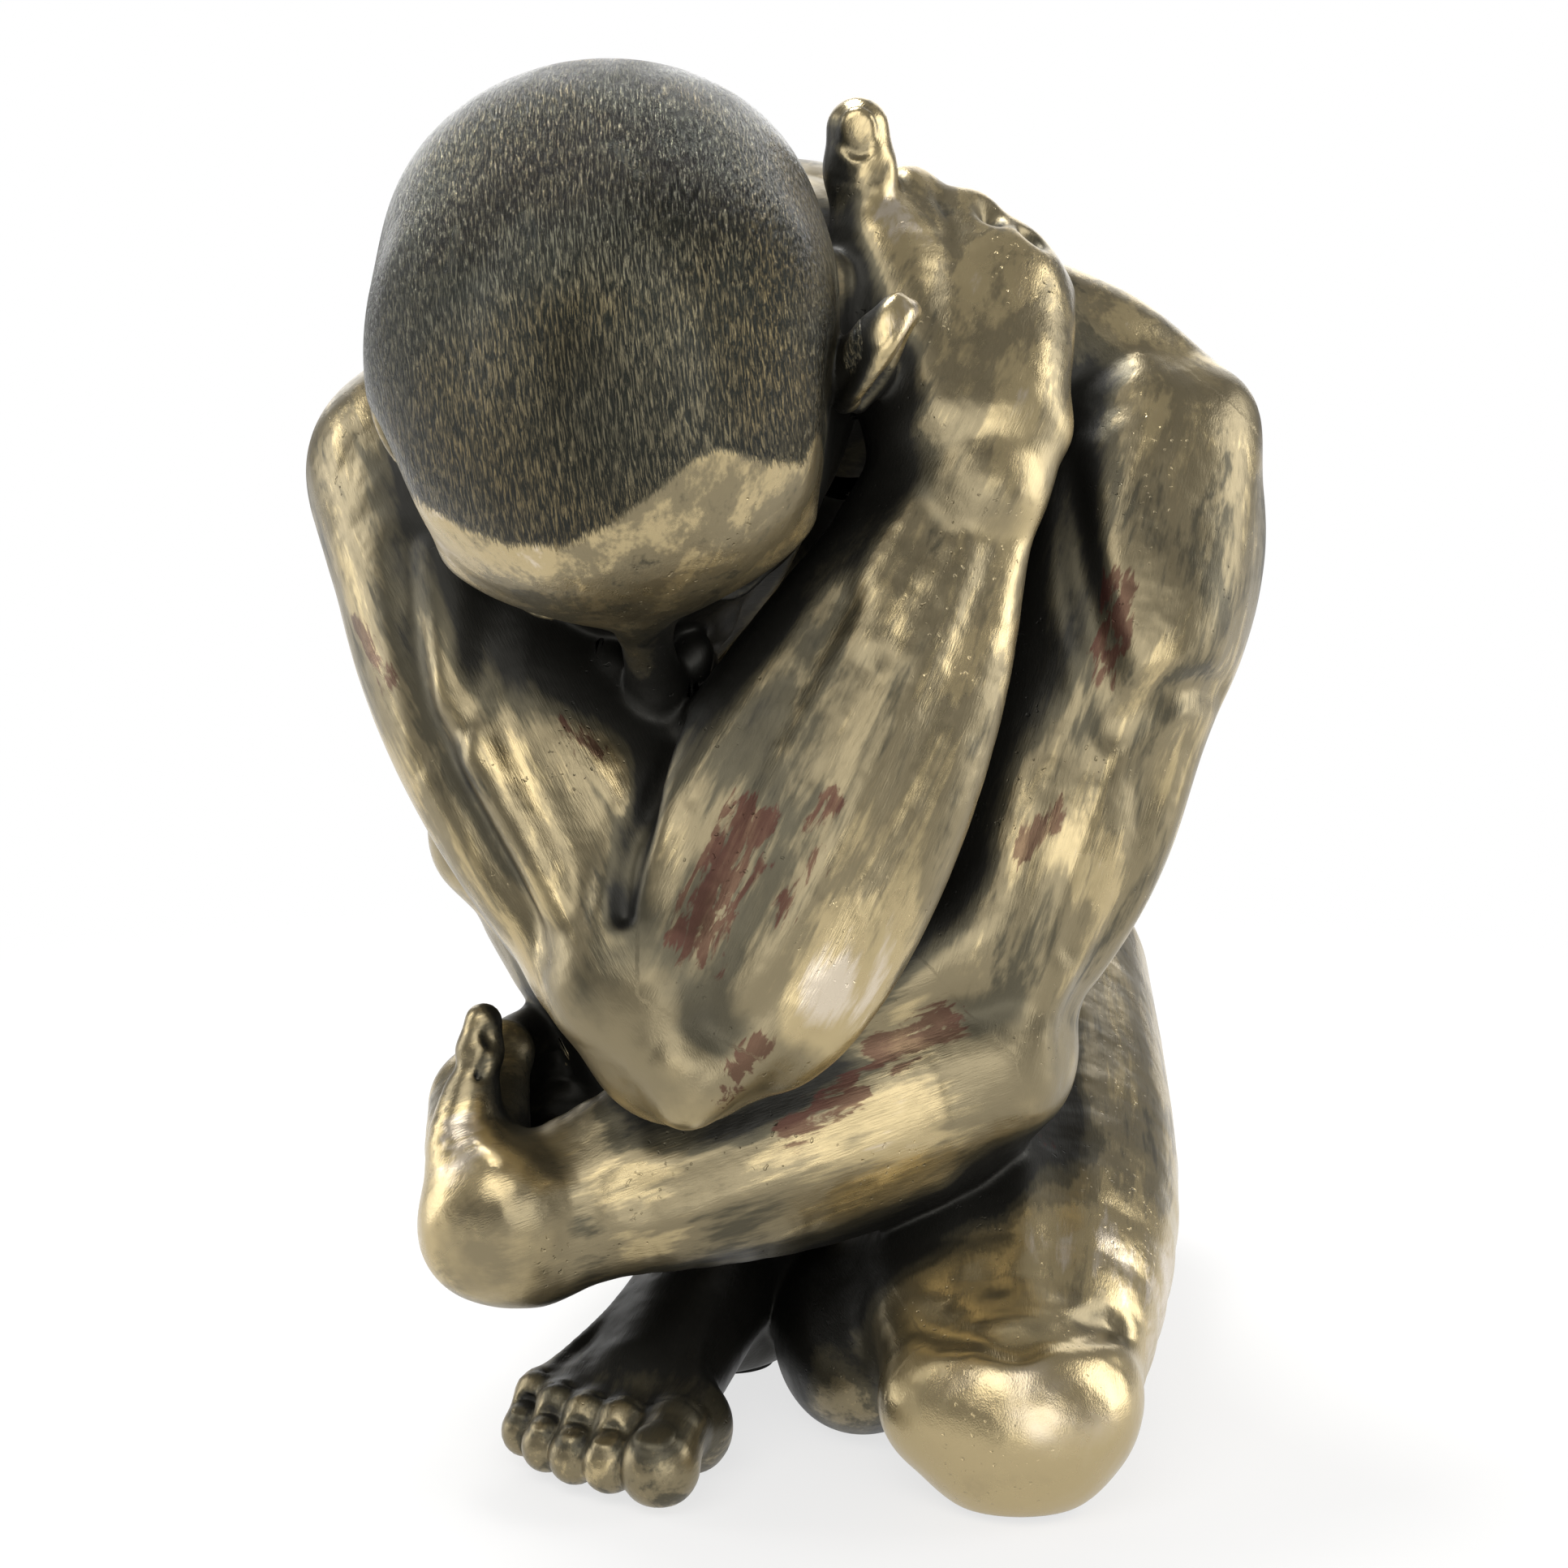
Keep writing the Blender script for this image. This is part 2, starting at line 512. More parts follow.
def make_left_arm():
    arm = Casting("left_arm_casting")
    add, dig = arm.add, arm.dig
    up, fore = UP_L, FORE_L
    add(up.sweep(((-0.05, 3, 0, 18, 18), (0.25, 3, 0, 20, 18), (0.55, 5, 0, 20.5, 16.5),
        (0.8, 5, 0, 18, 14.5), (1, 3, 0, 14, 13))), 1)
    add(up.muscle((-0.17, -6, 0), (0.47, -5, 13), 15, 14, 0.1), 7)
    add(up.muscle((-0.16, 14, 3), (0.4, 9, 11), 13, 11.5, 0.1))
    add(up.muscle((-0.2, 9, 9), (0.44, 1, 15), 10, 9, 0.1), 5)
    add(up.muscle((-0.12, -13, -9), (0.46, -11, 3), 12, 11))
    dig(up.line(((-0.18, 4, 21), (0.02, 3, 28), (0.24, 0, 28)), (1, 1.4, 0.6)), 6)
    # Biceps, the muscle beside it, and the triceps behind.
    add(up.muscle((0.28, 9, 8), (0.98, 6, 11), 12.5, 12), 5)
    add(up.muscle((0.24, 20, 0), (0.92, 17, 4), 11, 12))
    add(up.muscle((0.42, -4, 14), (1, -3, 11), 7.5, 7), 5)
    add(up.muscle((0.26, -11, 3), (0.9, -5, 3), 10, 12.5), 5)
    add(up.muscle((0.2, -5, -12), (0.94, 0, -7), 13, 11))
    dig(up.line(((0.4, 1.5, 26), (0.56, 0.5, 25.5), (0.8, 1, 23)), (0.5, 1, 0.4)))
    dig(up.line(((0.36, -9.5, 23.5), (0.52, -9.5, 22.5), (0.8, -8, 18.5)), (0.7, 1.2, 0.5)), 6)
    dig(up.line(((0.02, 18, 16), (0.2, 10.5, 21.5), (0.33, 3, 23.5), (0.43, -4, 23)), (0.6, 1.5, 1.6, 1.3)),
        6)
    dig(up.line(((0.43, -4, 23), (0.37, -10, 21.5), (0.32, -16, 16.5), (0.3, -22, 9)), (1.3, 1.5, 1.2, 0.4)),
        6)
    dig(up.line(((-0.02, 24, 11), (-0.1, 17, 18), (-0.13, 7, 22), (-0.12, -4, 23)), (1, 1.6, 1.6, 0.8)))
    # Elbow.
    add(ball((39, -25, 67), 11.5), 8)
    add(ball((36, -33, 66), 10), 8)
    # Forearm.
    add(fore.sweep(((0, 0, 0, 15, 13), (0.16, 0, 0, 20, 16), (0.4, 0, 0, 21, 16.5), (0.62, 0, 0, 18, 14),
        (0.84, 0, 0, 14.5, 11.5), (1.04, 0, 0, 12.5, 10.5))), 3)
    add(muscle(up(0.74, 3, 14), fore(0.62, 9, 8), 10, 9, VIEWER, -0.15))
    add(fore.muscle((-0.1, 13, 5), (0.8, 10, 5), 8.5, 9.5, -0.1), 5)
    add(fore.muscle((-0.06, 2, 12), (0.9, 2, 9), 8.5, 7, -0.1), 5)
    add(fore.muscle((-0.04, -8, 10), (0.92, -6, 9), 8, 7, -0.1), 5)
    add(fore.muscle((0, -13, 0), (0.84, -10, -1), 8.5, 9.5, -0.2), 5)
    add(fore.muscle((0, -2, -8), (0.8, 0, -6), 14, 11, -0.2))
    dig(fore.line(((0.04, 7.5, 23), (0.3, 7, 23.5), (0.68, 6.5, 18.5)), (0.4, 1, 0.4)))
    dig(fore.line(((0.1, -3.5, 23.5), (0.34, -3, 23.5), (0.76, -2.5, 17.5)), (0.4, 1, 0.4)))
    # Both bones at the wrist.
    add(ball((-43, -48.5, 37.5), 7.2))
    add(ball((-45, -53, 49), 7.5), 7)
    add(fore.line(((0.2, -16, 7), (0.6, -13, 7.5), (0.98, -9, 5)), (2, 2, 3)))
    return arm


def make_hand_right():
    """The back of the hand faces the viewer and its fingers wrap the neck."""
    hand = Casting("right_hand_casting")
    add, dig = hand.add, hand.dig
    axis = Limb(WRIST_R, KNUCKLES_R, VIEWER)
    knuckles = (vec(21.5, -12, 216), vec(31.5, -9.5, 212), vec(39.5, -9.5, 205), vec(44.5, -11, 199))
    add(Rod(WRIST_R - axis.way * 8, WRIST_R + axis.way * 6, 12.5, 13, axis.front, 0.82), 1)
    add(Egg((31.5, -20.5, 194), (17, 10.5, 22), (axis.side, axis.front, axis.way)), 7)
    add(Egg((34, -16, 203), (13.5, 9, 12), (axis.side, axis.front, axis.way)))
    add(ball((43.5, -28, 178.5), 5.6), 5)
    add(ball((22, -33, 178), 5.6), 7)
    for number, knuckle in enumerate(knuckles):
        start = WRIST_R + vec(-8 + 5.6 * number, -6 + 1.5 * number, 5)
        bow = (start + knuckle) / 2 + axis.front * 2
        add(stroke([start, bow, knuckle], [5, 5.4, 5]))
        add(stroke([start + axis.front * 3.8, bow + axis.front * 4.6, knuckle + axis.front * 2.4],
            [0.9, 1.1, 1.4]), 3.2)
        add(ball(knuckle + axis.front * 0.4 + UP * 0.8, 5.6 - 0.25 * number), 3)
        # The finger beyond the knuckle, over the back of the neck.
        bend = knuckle + vec(-3.5 - 1.5 * number, 15 - 0.8 * number, 0.5 - number)
        last = bend + vec(-10, 6.5, -8)
        add(stroke([knuckle, (knuckle + bend) / 2 + UP * 0.5, bend], [5.1, 4.7, 4.8]), 2)
        add(stroke([bend, (bend + last) / 2 + vec(-0.5, 1, 0.6), last], [4.7, 4.3, 4.3]), 1.6)
        add(stroke([last, last + vec(-7, -2, -7)], [4.2, 3.6]), 1.2)
    for a, b in zip(knuckles, knuckles[1:]):
        valley = (a + b) / 2 + axis.front * 6.4
        dig(stroke([valley + UP * 4, valley - axis.way * 6 - axis.front, valley - axis.way * 15],
            [1.1, 0.9, 0.3]), 5)
    # Thumb: its ball, two joints and the nail towards the viewer.
    add(stroke([(23, -29.5, 182), (17.5, -27.5, 197), (15.4, -23.5, 209)], [8.5, 9, 7.4]), 7)
    add(stroke([(15, -23, 208), (13.6, -21.5, 215.5), (13, -20.8, 222)], [7, 5.8, 6]), 3)
    add(stroke([(13, -20.8, 222), (12.6, -20, 229)], [5.9, 5.4], VIEWER, 0.88), 2)
    dig(Egg((12.5, -26.2, 228.6), (3.9, 1.9, 4.6)), 0.8)
    add(Egg((12.5, -24.2, 228.8), (3.4, 1.2, 4.1)), 0.5)
    for z, r in ((220.8, 0.4), (222.4, 0.5), (223.8, 0.35)):
        dig(stroke([vec(8, -24.6, z), vec(12.8, -27.4, z - 0.5), vec(17.6, -24.6, z)], [0.2, r, 0.2]), 1.1)
    # Web between the thumb and the hand.
    add(stroke([(17, -21, 205), (20.5, -16, 209), (23, -13, 211)], [7, 6.5, 6]), 7)
    return hand


def make_hand_left():
    """The hand folds back behind the shin, so that the thumb side faces the viewer."""
    hand = Casting("left_hand_casting")
    add, dig = hand.add, hand.dig
    axis = Limb(WRIST_L, KNUCKLES_L, -LEFT)
    add(ball((-49, -48.5, 45), 11), 1)
    add(stroke([(-48.5, -50, 45), (-54, -38, 51), (-56.5, -22, 57)], [11.5, 11, 9], LEFT, 0.76), 8)
    roots = (vec(-50.5, -16, 66), vec(-54.5, -17, 59.5), vec(-55.5, -18, 52.5), vec(-54, -20, 46))
    for number, root in enumerate(roots):
        add(stroke([vec(-51, -45, 50 - 3 * number), root], [5.8, 5]))
        add(ball(root, 5.2 - 0.2 * number), 2.6)
        bend = root + vec(5.5, 15 - number, 0.5)
        last = bend + vec(11.5, 5.5, 0)
        add(stroke([root, (root + bend) / 2 + vec(-1.4, 0.5, 0), bend], [4.8, 4.3, 4.6]), 1.4)
        add(stroke([bend, (bend + last) / 2 + vec(-0.6, 1, 0), last], [4.5, 4.1, 4.1]), 1.2)
        add(stroke([last, last + vec(8, -3.5, -0.5)], [4.1, 3.4]), 1)
    # Thumb, standing up beside the shin.
    add(stroke([(-50, -49, 50), (-54.5, -45, 57), (-54.2, -42, 64)], [8.5, 6.8, 4.8]), 4)
    add(stroke([(-54.2, -42, 63), (-52.8, -40.5, 69.5), (-52.6, -39.5, 72)], [4.8, 3.8, 4]), 2)
    add(stroke([(-52.6, -39.5, 72), (-52, -38.4, 77)], [3.9, 3.3]), 1.5)
    dig(stroke([(-54, -43.6, 66), (-51.8, -44, 70.5), (-50.4, -43.2, 74)], [0.3, 0.6, 0.3]), 1.2)
    dig(Egg((-50, -42.6, 76.4), (2.2, 1.5, 3.2)), 0.7)
    return hand


def make_right_leg():
    leg = Casting("right_leg_casting")
    add, dig = leg.add, leg.dig
    thigh, shin = THIGH_R, SHIN_R
    add(thigh.sweep(((0, 0, 0, 29, 27), (0.3, 0, 0, 30, 28), (0.62, 0, 0, 25, 23), (0.86, 0, 0, 19, 18),
        (1, 0, -1, 16, 15))), 1)
    add(thigh.muscle((0.1, 0, 14), (0.92, 0, 9), 14, 13, -0.1), 7)
    add(thigh.muscle((0.2, 14, 8), (0.96, 9, 6), 11, 11, 0.2))
    add(thigh.muscle((0.1, -14, 8), (0.93, -9, 5), 12, 11))
    add(thigh.muscle((0, 9, -14), (0.95, 9, -9), 11, 11))
    add(thigh.muscle((0, -9, -14), (0.95, -9, -9), 11, 11))
    # Kneecap and the bones beside it.
    add(ball(KNEE_R + vec(-4, -4, 4), 13), 7)
    add(ball(KNEE_R + vec(6, -4, -6), 11), 7)
    add(ball(KNEE_R + vec(-9, -1, -7), 10), 7)
    # Shin: the bone's edge, the calf's two heads and the tendon to the heel.
    add(shin.sweep(((0, 0, 0, 15.5, 15), (0.22, 0, -4, 18, 17), (0.5, 0, -3, 15.5, 15),
        (0.75, 0, 0, 12, 11.5), (1, 0, 0, 10.5, 10))))
    add(shin.muscle((0.02, -8, -12), (0.68, -5, -8), 10, 11, -0.25))
    add(shin.muscle((0.02, 8, -12), (0.6, 5, -8), 10, 11, -0.25))
    add(shin.muscle((0.1, 7, 6), (0.85, 4, 4), 6, 5, -0.1), 5)
    add(shin.line(((0.04, 0, 13), (0.3, -3, 13.5), (0.65, -3, 11.5), (0.92, -2, 9)), (4, 3, 2.6, 2.4)), 5)
    dig(shin.line(((0.12, 4.5, 15.5), (0.34, 3.5, 15.5), (0.6, 3, 13)), (0.6, 1.2, 0.5)), 3)
    add(shin.line(((0.5, 0, -14), (0.8, 0, -14), (1.08, 0, -15)), (6, 4.4, 5)))
    add(ball(ANKLE_R + vec(9, -2, 4), 6), 5)
    add(ball(ANKLE_R + vec(-9, 1, 2), 6), 5)
    return leg


def make_left_leg():
    leg = Casting("left_leg_casting")
    add, dig = leg.add, leg.dig
    thigh, shin = THIGH_L, SHIN_L
    add(thigh.sweep(((0, 0, 0, 31, 28), (0.3, 0, 0, 32, 29), (0.6, -1, 0, 29.5, 26.5), (0.84, 0, 0, 24, 20),
        (1, 0, 0, 18, 15))), 1)
    add(thigh.muscle((0.08, -2, 17), (0.96, -1, 11), 14, 13, -0.05), 7)
    add(thigh.muscle((0.16, -17, 9), (0.98, -11, 4), 13, 14, 0.05), 7)
    add(thigh.muscle((0.42, 13, 8), (1.02, 13, 5), 12, 12.5, 0.2))
    add(thigh.muscle((0.02, 16, 4), (0.8, 11, -1), 15, 16), 7)
    add(thigh.muscle((0, 10, -13), (0.9, 10, -7), 12, 11))
    add(thigh.muscle((0, -10, -12), (0.92, -11, -7), 12, 11))
    dig(thigh.line(((0.5, 5.5, 30), (0.74, 6, 27.5), (0.92, 5, 22)), (0.6, 1.2, 0.6)), 8)
    dig(thigh.line(((0.4, -10, 29), (0.7, -8, 27), (0.92, -6.5, 21.5)), (0.6, 1.1, 0.5)), 8)
    # Knee, broad and flat where the kneecap and the shin's head press the ground.
    add(Egg(KNEE_L + vec(0, -3, 1), (17, 13.5, 15)), 7)
    add(Egg(KNEE_L + vec(-2, -7, 2), (13.5, 7, 12.5)), 5)
    add(ball(KNEE_L + vec(-13.5, 0, 1), 10))
    add(ball(KNEE_L + vec(9.5, 0, 2), 9.5))
    add(Egg(KNEE_L + vec(-1, -6, -7), (12.5, 9, 8)), 5)
    dig(ball((38.4, -71, 32), 1.6), 6)
    dig(stroke([(18, -54, 33), (28, -65, 31), (37, -72, 31.5)], [0.4, 0.9, 0.8]), 6)
    dig(stroke([(40, -72, 31.5), (49, -67, 31.5), (56, -58, 29)], [0.7, 0.9, 0.4]), 6)
    # Shin and calf, lying along the ground and pressed wide by the thigh.
    add(Egg((14, -10, 12), (16, 36, 16)), 9)
    add(shin.sweep(((0, 0, 0, 15.5, 13), (0.25, 0, -2, 18.5, 16), (0.5, 0, -2, 16.5, 15),
        (0.78, 0, 0, 12, 11), (1, 0, 0, 11, 10.5))))
    add(shin.muscle((0.06, 8, -8), (0.66, 6, -8), 11, 11, -0.2))
    add(shin.muscle((0.06, -8, -8), (0.62, -6, -8), 11, 11, -0.2))
    add(shin.line(((0.55, 0, -12), (0.85, 0, -12), (1.04, -1, -15)), (6, 5, 5.5)))
    add(ball(ANKLE_L + vec(10, -1, 0), 6), 5)
    add(ball(ANKLE_L + vec(-10, 1, 1), 6), 5)
    return leg


def make_foot(name, ankle, ball_joint, sole, big, drop):
    """Heel, arch, ball and five toes with their nails."""
    foot = Casting(name)
    add, dig = foot.add, foot.dig
    way = square(ball_joint - ankle, sole)
    side = np.cross(way, sole) * big

    def place(ahead, aside, down):
        return ball_joint + way * ahead + side * aside + sole * down
    heel = ankle + sole * drop - way * 9
    reach = (ball_joint - ankle) @ way
    add(ball(ankle + sole * 2, 13.5), 1)
    add(Egg(heel, (17, 12.5, 13), (way, side, sole)), 7)
    if sole[2] < 0:
        add(Egg(ankle + sole * 18 - way * 2, (16, 12, 8), (way, side, sole)))
    add(stroke([ankle + sole * 3, place(-reach * 0.55, 1, -9), place(-10, 2, -3)], [12, 12.5, 11.5]))
    add(stroke([heel + sole * 1, place(-reach * 0.5, -9, 0), place(-4, -11, 1)], [10, 8, 7]))
    add(ball(place(-2, 11.5, 0), 8), 7)
    add(ball(place(-4, -11, 1.5), 6.5))
    add(Egg(place(-2, 0, -1), (11, 17, 7.5), (way, side, sole)))
    toes = ((13.6, 13.5, 6.6, 15), (4.6, 14.2, 4.7, 12), (-2.4, 12.6, 4.5, 11.5), (-9, 9.2, 4.3, 11),
        (-15.2, 3.6, 4.2, 9.5))
    for number, (aside, ahead, r, length) in enumerate(toes):
        lean = 0.12 * (2 - number)
        knee = place(ahead - length * 0.45, aside - lean, -4.6 + (number == 0) * 1.4)
        root = place(ahead - length, aside * 0.9, -1.5)
        tip = place(ahead + (number == 0), aside, 3.2 - r * 0.35 - 1.2)
        add(stroke([root, knee], [r * 1.02, r * 0.86]), 2.5)
        add(stroke([knee, tip], [r * 0.84, r]), 1.2)
        add(ball(tip + way * 0.8 + sole * 0.8, r * 1.02), 1)
        nail = tip + way * r * 0.42 - sole * r * 0.86
        axes = (unit(way + sole * 0.35), side, unit(sole - way * 0.35))
        dig(Egg(nail - sole * r * 0.18, (r * 0.7, r * 0.66, r * 0.3), axes), 0.6)
        add(Egg(nail + sole * r * 0.05, (r * 0.62, r * 0.58, r * 0.2), axes), 0.5)
        dig(stroke([knee - side * r * 0.8 - sole * r * 0.5, knee - sole * r * 0.98,
            knee + side * r * 0.8 - sole * r * 0.5], [0.2, 0.45, 0.2]), 0.9)
        add(stroke([place(-reach * 0.55, aside * 0.4, -16), place(-6, aside * 0.85, -8.4),
            root - sole * r * 0.7], [0.8, 1.1, 0.9]), 3)
    return foot


castings = [
    make_torso(),
    make_head(),
    make_right_leg(),
    make_left_leg(),
    make_foot("right_foot_casting", ANKLE_R, BALL_R, -UP, 1, 11),
    make_foot("left_foot_casting", ANKLE_L, BALL_L, UP, -1, 6),
    make_right_arm(),
    make_left_arm(),
    make_hand_right(),
    make_hand_left(),
]

# Where two castings belong together the blend is wide, and elsewhere flesh only touches flesh.
TOUCH = 2.4
JOINTS = (
    (SHOULDER_L, 24, 12), (SHOULDER_R, 24, 12), (HIP_L, 34, 12), (HIP_R, 34, 12),
    (NECK_ROOT, 26, 12), (WRIST_L, 13, 7), (WRIST_R, 13, 7), (ANKLE_L, 16, 7), (ANKLE_R, 16, 7),
)


def blend_width(x, y, z):
    """How widely castings blend at each place."""
    k = np.float32(TOUCH)
    for centre, reach, width in JOINTS:
        q = (x - centre[0]) ** 2 + (y - centre[1]) ** 2 + (z - centre[2]) ** 2
        k = np.maximum(k, TOUCH + (width - TOUCH) * np.exp(-q / reach ** 2))
    return k.astype(np.float32)


fields = [casting.field() for casting in castings]
low = np.min([f.low for f in fields], 0)
high = np.max([f.low + CELL * f.count for f in fields], 0)
low[2] = -BELOW_FLOOR
whole = Field(low, high)
nearest = np.full(whole.count, FAR, np.float32)
second = np.full(whole.count, FAR, np.float32)
owner = np.zeros(whole.count, np.int8)
for number, field in enumerate(fields):
    start = np.rint((field.low - whole.low) / CELL).astype(int)
    skip = np.maximum(-start, 0)
    start = np.maximum(start, 0)
    stop = np.minimum(start + field.count - skip, whole.count)
    window = tuple(slice(a, b) for a, b in zip(start, stop))
    part = field.f[tuple(slice(s, s + b - a) for s, a, b in zip(skip, start, stop))]
    k = blend_width(*whole.mesh_of(window))
    mine = part < nearest[window]
    owner[window][mine] = number
    second[window] = np.minimum(second[window], np.maximum(nearest[window], part))
    nearest[window] = np.minimum(nearest[window], part)
    whole.f[window] = mix(whole.f[window], part, k)
ground = (FLOOR_CUT - whole.axes[2])[None, None, :].astype(np.float32)
whole.f = -mix(-whole.f, -ground, FLOOR_BLEND)

grid = openvdb.FloatGrid(FAR)
grid.copyFromArray(whole.f)
points, quads = grid.convertToQuads(0.0)


def sample(array, places):
    """Values of a grid at places given in cells."""
    base = np.clip(np.floor(places).astype(int), 0, np.array(array.shape) - 2)
    t = places - base
    total = 0
    for i in (0, 1):
        for j in (0, 1):
            for m in (0, 1):
                w = (np.abs(1 - i - t[:, 0]) * np.abs(1 - j - t[:, 1]) * np.abs(1 - m - t[:, 2]))
                total = total + w * array[base[:, 0] + i, base[:, 1] + j, base[:, 2] + m]
    return total


def slope(places, step=1.0):
    """The way out of the surface at places given in cells."""
    ways = []
    for i in range(3):
        offset = np.zeros(3)
        offset[i] = step
        ways.append(sample(whole.f, places + offset) - sample(whole.f, places - offset))
    ways = np.stack(ways, 1)
    return ways / np.maximum(np.linalg.norm(ways, axis=1), 1e-6)[:, None]


normals = slope(points)
spots = whole.low + points * CELL
# How far the surface lies in a recess: the field falls short of the distance walked outward.
RECESS_WALKS = ((1.5, 0.9), (3.0, 0.6), (6.0, 0.4))
recess = np.zeros(len(points))
for distance, weight in RECESS_WALKS:
    seen = sample(whole.f, points + normals * (distance / CELL))
    recess += weight * np.clip(1 - seen / distance, -1, 1.5)
owners = owner[tuple(np.rint(points).astype(int).T)]


def blurred(array, reach):
    """Three passes of a moving mean along each axis."""
    for axis in range(3):
        for _ in range(3):
            edge = [(0, 0)] * 3
            edge[axis] = (reach + 1, reach)
            total = np.cumsum(np.pad(array, edge, mode="edge"), axis=axis)
            count = array.shape[axis]
            ahead = np.take(total, range(2 * reach + 1, 2 * reach + 1 + count), axis=axis)
            behind = np.take(total, range(count), axis=axis)
            array = (ahead - behind) / (2 * reach + 1)
    return array


# How shut in each place is: the share of metal in the space in front of it, near and wide.
SHUT_SPACES = ((5, 8.0), (11, 18.0))
STRIDE = 4
coarse = np.clip(0.5 - whole.f[::STRIDE, ::STRIDE, ::STRIDE] / (STRIDE * CELL), 0, 1).astype(np.float64)
shut = np.zeros(len(points))
for reach, lift in SHUT_SPACES:
    cells = max(1, round(reach / (STRIDE * CELL)))
    near = (points + normals * (lift / CELL)) / STRIDE
    shut += 0.5 * sample(blurred(coarse, cells), np.clip(near, 0, np.array(coarse.shape) - 1.001))


# The hairline as places aside and ahead in the head, and the radius on which hair strokes lie.
HAIR_TURN = 40
HAIRLINE = ((-40, 18), (-30, 27), (-24, 32), (-17, 36), (-8, 38), (0, 36), (8, 32), (14, 28), (18, 26.5),
            (24, 28), (30, 27), (40, 8))


def hair_mask(aside, ahead, above):
    """One where the cropped hair grows, and zero on the skin."""
    front = np.clip((np.interp(aside, *zip(*HAIRLINE)) - ahead) / 4.5 + 0.5, 0, 1)
    low = np.where(ahead > -6, -12, -12 - (-6 - ahead) * 0.55)
    sides = np.clip((above - low) / 4 + 0.5, 0, 1)
    ear = ((ahead - 6) / 12) ** 2 + ((above + 15) / 15) ** 2
    return front * sides * np.clip((ear - 1) * 4, 0, 1) * np.clip(41.5 - np.abs(aside), 0, 1)


names = [casting.name for casting in castings]
local = ((spots - HEAD) @ HEAD_AXES.T).T
hair = np.where(owners == names.index("head_casting"), hair_mask(*local), 0.0)
# Hair strokes run from the brow over the crown: aside, then along that way round.
strands = np.stack((local[0], np.arctan2(local[1], local[2]) * HAIR_TURN, np.zeros(len(spots))), 1)

BONES = {
    "torso_casting": ((PELVIS, RIBS), (RIBS, COLLAR)),
    "head_casting": ((HEAD + FACE * 30, HEAD), (NAPE, NECK_ROOT)),
}
for side, hip, knee, ankle, sole, shoulder, elbow, wrist in (
        ("right_", HIP_R, KNEE_R, ANKLE_R, BALL_R, SHOULDER_R, ELBOW_R, WRIST_R),
        ("left_", HIP_L, KNEE_L, ANKLE_L, BALL_L, SHOULDER_L, ELBOW_L, WRIST_L)):
    BONES[side + "leg_casting"] = (hip, knee), (knee, ankle)
    BONES[side + "foot_casting"] = (knee, ankle), (ankle, sole)
    BONES[side + "arm_casting"] = (shoulder, elbow), (elbow, wrist)
    BONES[side + "hand_casting"] = ((elbow, wrist),)


# Streaks fade out over these widths, near a change of bone and near a seam, which has a bare strip.
BONE_FADE, SEAM_FADE, SEAM_STRIP = 4, 3, 0.5


def lay_of(spots, bones):
    """Coordinates along and across the nearest bone, and how clearly it is the nearest."""
    best = np.full(len(spots), 1e9)
    other = np.full(len(spots), 1e9)
    lay = np.zeros((len(spots), 3))
    for a, b in bones:
        way = unit(b - a)
        side = square(LEFT + BACK * 0.3, way)
        axes = np.array((way, side, np.cross(way, side)))
        off = spots - a
        along = np.clip(off @ way, 0, np.linalg.norm(b - a))
        away = np.linalg.norm(off - along[:, None] * way, axis=1)
        closer = away < best
        other = np.minimum(other, np.where(closer, best, away))
        best[closer] = away[closer]
        lay[closer] = off[closer] @ axes.T
    return lay, np.clip((other - best) / BONE_FADE, 0, 1)


lays = np.zeros((len(spots), 3))
grain = np.ones(len(spots))
for number, name in enumerate(names):
    mine = owners == number
    lays[mine], grain[mine] = lay_of(spots[mine], BONES[name])
to_seam = sample(second, points) - sample(nearest, points)
grain *= np.clip((to_seam - SEAM_STRIP) / SEAM_FADE, 0, 1)

# The left thigh with its front to the viewer, for places on its patina.
THIGH_FRONT = Limb(HIP_L, KNEE_L, VIEWER)
# Places that hands and cloths rub bright (above zero) or leave dark (below): centre, reach and how much.
RUBBED = (
    ((ANKLE_R + BALL_R) / 2, 40, -0.45), (ANKLE_R, 36, -0.3), (KNEE_L + vec(0, -10, 0), 22, 0.22),
    ((-18, -73, 79), 12, 0.12), ((-50, -30, 42), 22, 0.28), ((-16, -52, 131), 13, -0.4),
    ((8, -12, 10), 26, -0.55), (KNUCKLES_R, 24, 0.16),
    (FORE_R(0.13, 18, 11), 11, 0.42), (FORE_R(0.9, -12, 8), 15, -0.3), (FORE_R(0.45, 0, 17), 26, -0.12),
    (FORE_R(0.02, 4, 14), 22, -0.15), (UP_R(0.1, -8, 16), 26, -0.38), (UP_R(0.1, 14, 12), 18, -0.22),
    (UP_R(0.45, -24, 10), 15, -0.35), (UP_R(0.55, 14, 12), 24, -0.25), (UP_R(0.62, -8, 19), 16, 0.12),
    (UP_L(0.1, -1, 20), 26, -0.2), (UP_L(0.4, 24, 8), 18, -0.3), (FORE_L(0.2, -16, 10), 16, -0.1),
    (FORE_L(0.75, 6, 12), 24, 0.12), (THIGH_FRONT(0.5, 4, 16), 16, -0.3),
    (THIGH_FRONT(0.85, 8, 16), 20, 0.15),
    (in_head(46, 2, -6), 12, 0.3), (in_head(0, 42, 4), 20, -0.25),
)
rub = np.zeros(len(spots))
for centre, reach, lift in RUBBED:
    rub += lift * np.exp(-((spots - centre) ** 2).sum(1) / reach ** 2)
